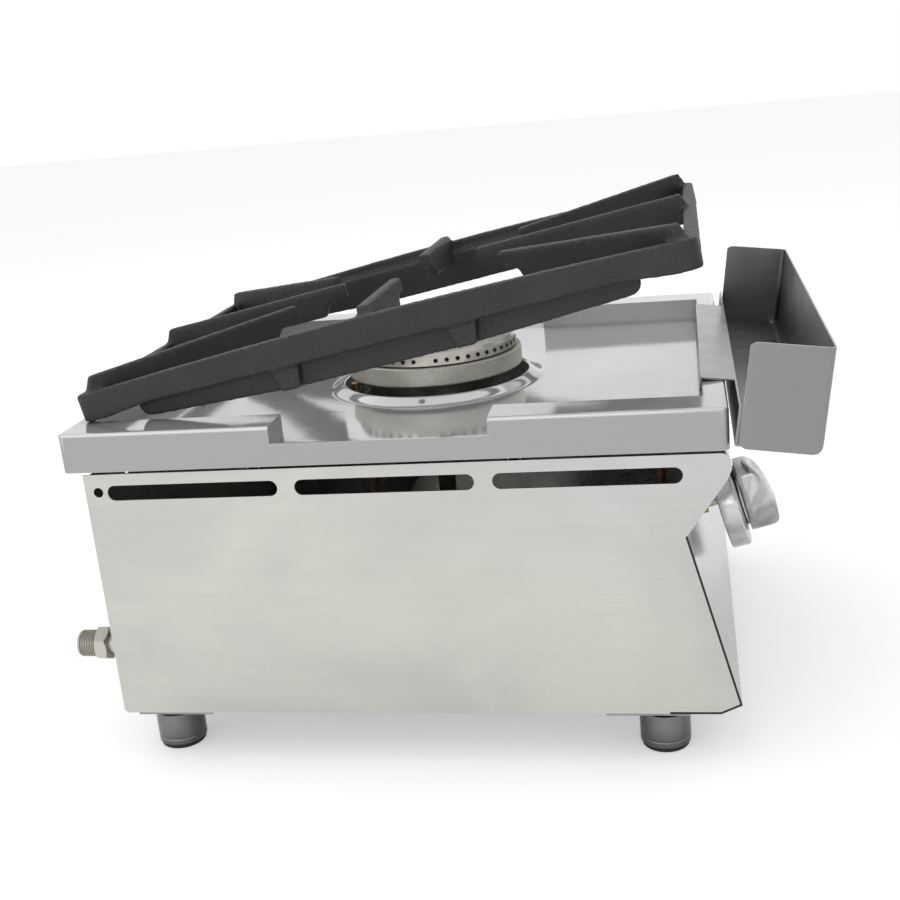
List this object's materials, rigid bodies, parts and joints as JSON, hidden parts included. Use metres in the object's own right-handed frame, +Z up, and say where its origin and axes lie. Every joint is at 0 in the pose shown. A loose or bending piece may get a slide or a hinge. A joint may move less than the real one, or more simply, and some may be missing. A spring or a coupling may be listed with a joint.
{
  "type": "countertop gas burner",
  "caption": "Single open gas burner on a folded steel countertop body, with a tipped cast grate, a lift-off front trough, a leaning control panel and adjustable feet.",
  "frame": {"origin": "middle of the bounding box at the underside of the feet", "axes": "X across the front, -Y towards the knob, +Z up"},
  "size_m": [0.52, 0.7226, 0.4827],
  "materials": {
    "worktop_steel": "mirror-like stainless sheet with a fine grain",
    "side_steel": "stainless sheet, softly polished",
    "front_steel": "mirror-polished stainless sheet",
    "trough_steel": "cross-brushed stainless sheet",
    "inner_steel": "dull folded steel",
    "dark_steel": "heat-stained square steel tube",
    "foot_steel": "turned stainless sleeve",
    "zinc": "zinc-plated steel with a faint yellow and blue sheen",
    "grate_iron": "matt black enamelled cast iron",
    "base_iron": "rough cast iron, machined on its rim",
    "crown_steel": "turned and brushed metal, slightly yellow",
    "mixer_iron": "grey casting",
    "brass": "turned brass",
    "copper": "drawn copper tube",
    "chrome": "bright chrome",
    "steel_rod": "turned steel",
    "rubber": "moulded black rubber"
  },
  "bodies": {
    "housing": {"worktop": "worktop_steel", "bearers": "inner_steel", "side_left": "side_steel", "side_right": "side_steel", "front_panel": "front_steel", "back_panel": "inner_steel", "bottom_panel": "inner_steel", "foot_plates": "foot_steel", "burner_bracket": "inner_steel", "mixer_post": "dark_steel", "burner_base": "base_iron", "venturi": "mixer_iron", "injector": "brass", "pilot_holder": "inner_steel", "pilot": "brass", "pilot_tube": "copper", "thermocouple": "steel_rod", "thermocouple_tube": "copper", "supply_pipe": "zinc", "inlet_nipple": "zinc", "inlet_nut": "zinc", "valve_body": "brass", "valve_outlet": "copper", "foot_studs": "steel_rod"},
    "crown": {"burner_crown": "crown_steel"},
    "shutter": {"air_shutter": "inner_steel"},
    "press": {"spindle_clip": "steel_rod"},
    "knob": {"valve_spindle": "steel_rod", "knob_base": "chrome", "knob_collar": "chrome", "knob_grip": "chrome"},
    "grate": {"grate": "grate_iron"},
    "trough": {"trough_shell": "trough_steel", "trough_floor": "trough_steel"},
    "front_left_foot": {"foot_front_left": "foot_steel", "pad_front_left": "rubber"},
    "front_right_foot": {"foot_front_right": "foot_steel", "pad_front_right": "rubber"},
    "back_left_foot": {"foot_back_left": "foot_steel", "pad_back_left": "rubber"},
    "back_right_foot": {"foot_back_right": "foot_steel", "pad_back_right": "rubber"}
  },
  "joints": [
    {"name": "grate_tip", "type": "hinge", "parent": "housing", "child": "grate", "pos_m": [0, 0.31383, 0.3353], "axis": [-1, 0, 0], "range_deg": [-10.9, 64]},
    {"name": "trough_lift", "type": "slide", "parent": "housing", "child": "trough", "axis": [0, 0, 1], "range_m": [0, 0.09]},
    {"name": "crown_lift", "type": "slide", "parent": "housing", "child": "crown", "axis": [0, 0, 1], "range_m": [0, 0.035]},
    {"name": "knob_press", "type": "slide", "parent": "housing", "child": "press", "axis": [0, 0.9673, -0.2538], "range_m": [0, 0.003], "stiffness_N_per_m": 1500, "springref_m": -0.006},
    {"name": "knob_turn", "type": "hinge", "parent": "press", "child": "knob", "pos_m": [0, -0.25404, 0.15719], "axis": [0, -0.9673, 0.2538], "range_deg": [0, 180]},
    {"name": "shutter_turn", "type": "hinge", "parent": "housing", "child": "shutter", "pos_m": [0, -0.15317, 0.232], "axis": [0, -1, 0], "range_deg": [0, 45]},
    {"name": "front_left_foot_turn", "type": "hinge", "parent": "housing", "child": "front_left_foot", "pos_m": [-0.215, -0.21017, 0.02], "axis": [0, 0, 1], "continuous": true},
    {"name": "front_right_foot_turn", "type": "hinge", "parent": "housing", "child": "front_right_foot", "pos_m": [0.215, -0.21017, 0.02], "axis": [0, 0, 1], "continuous": true},
    {"name": "back_left_foot_turn", "type": "hinge", "parent": "housing", "child": "back_left_foot", "pos_m": [-0.215, 0.26983, 0.02], "axis": [0, 0, 1], "continuous": true},
    {"name": "back_right_foot_turn", "type": "hinge", "parent": "housing", "child": "back_right_foot", "pos_m": [0.215, 0.26983, 0.02], "axis": [0, 0, 1], "continuous": true}
  ]
}
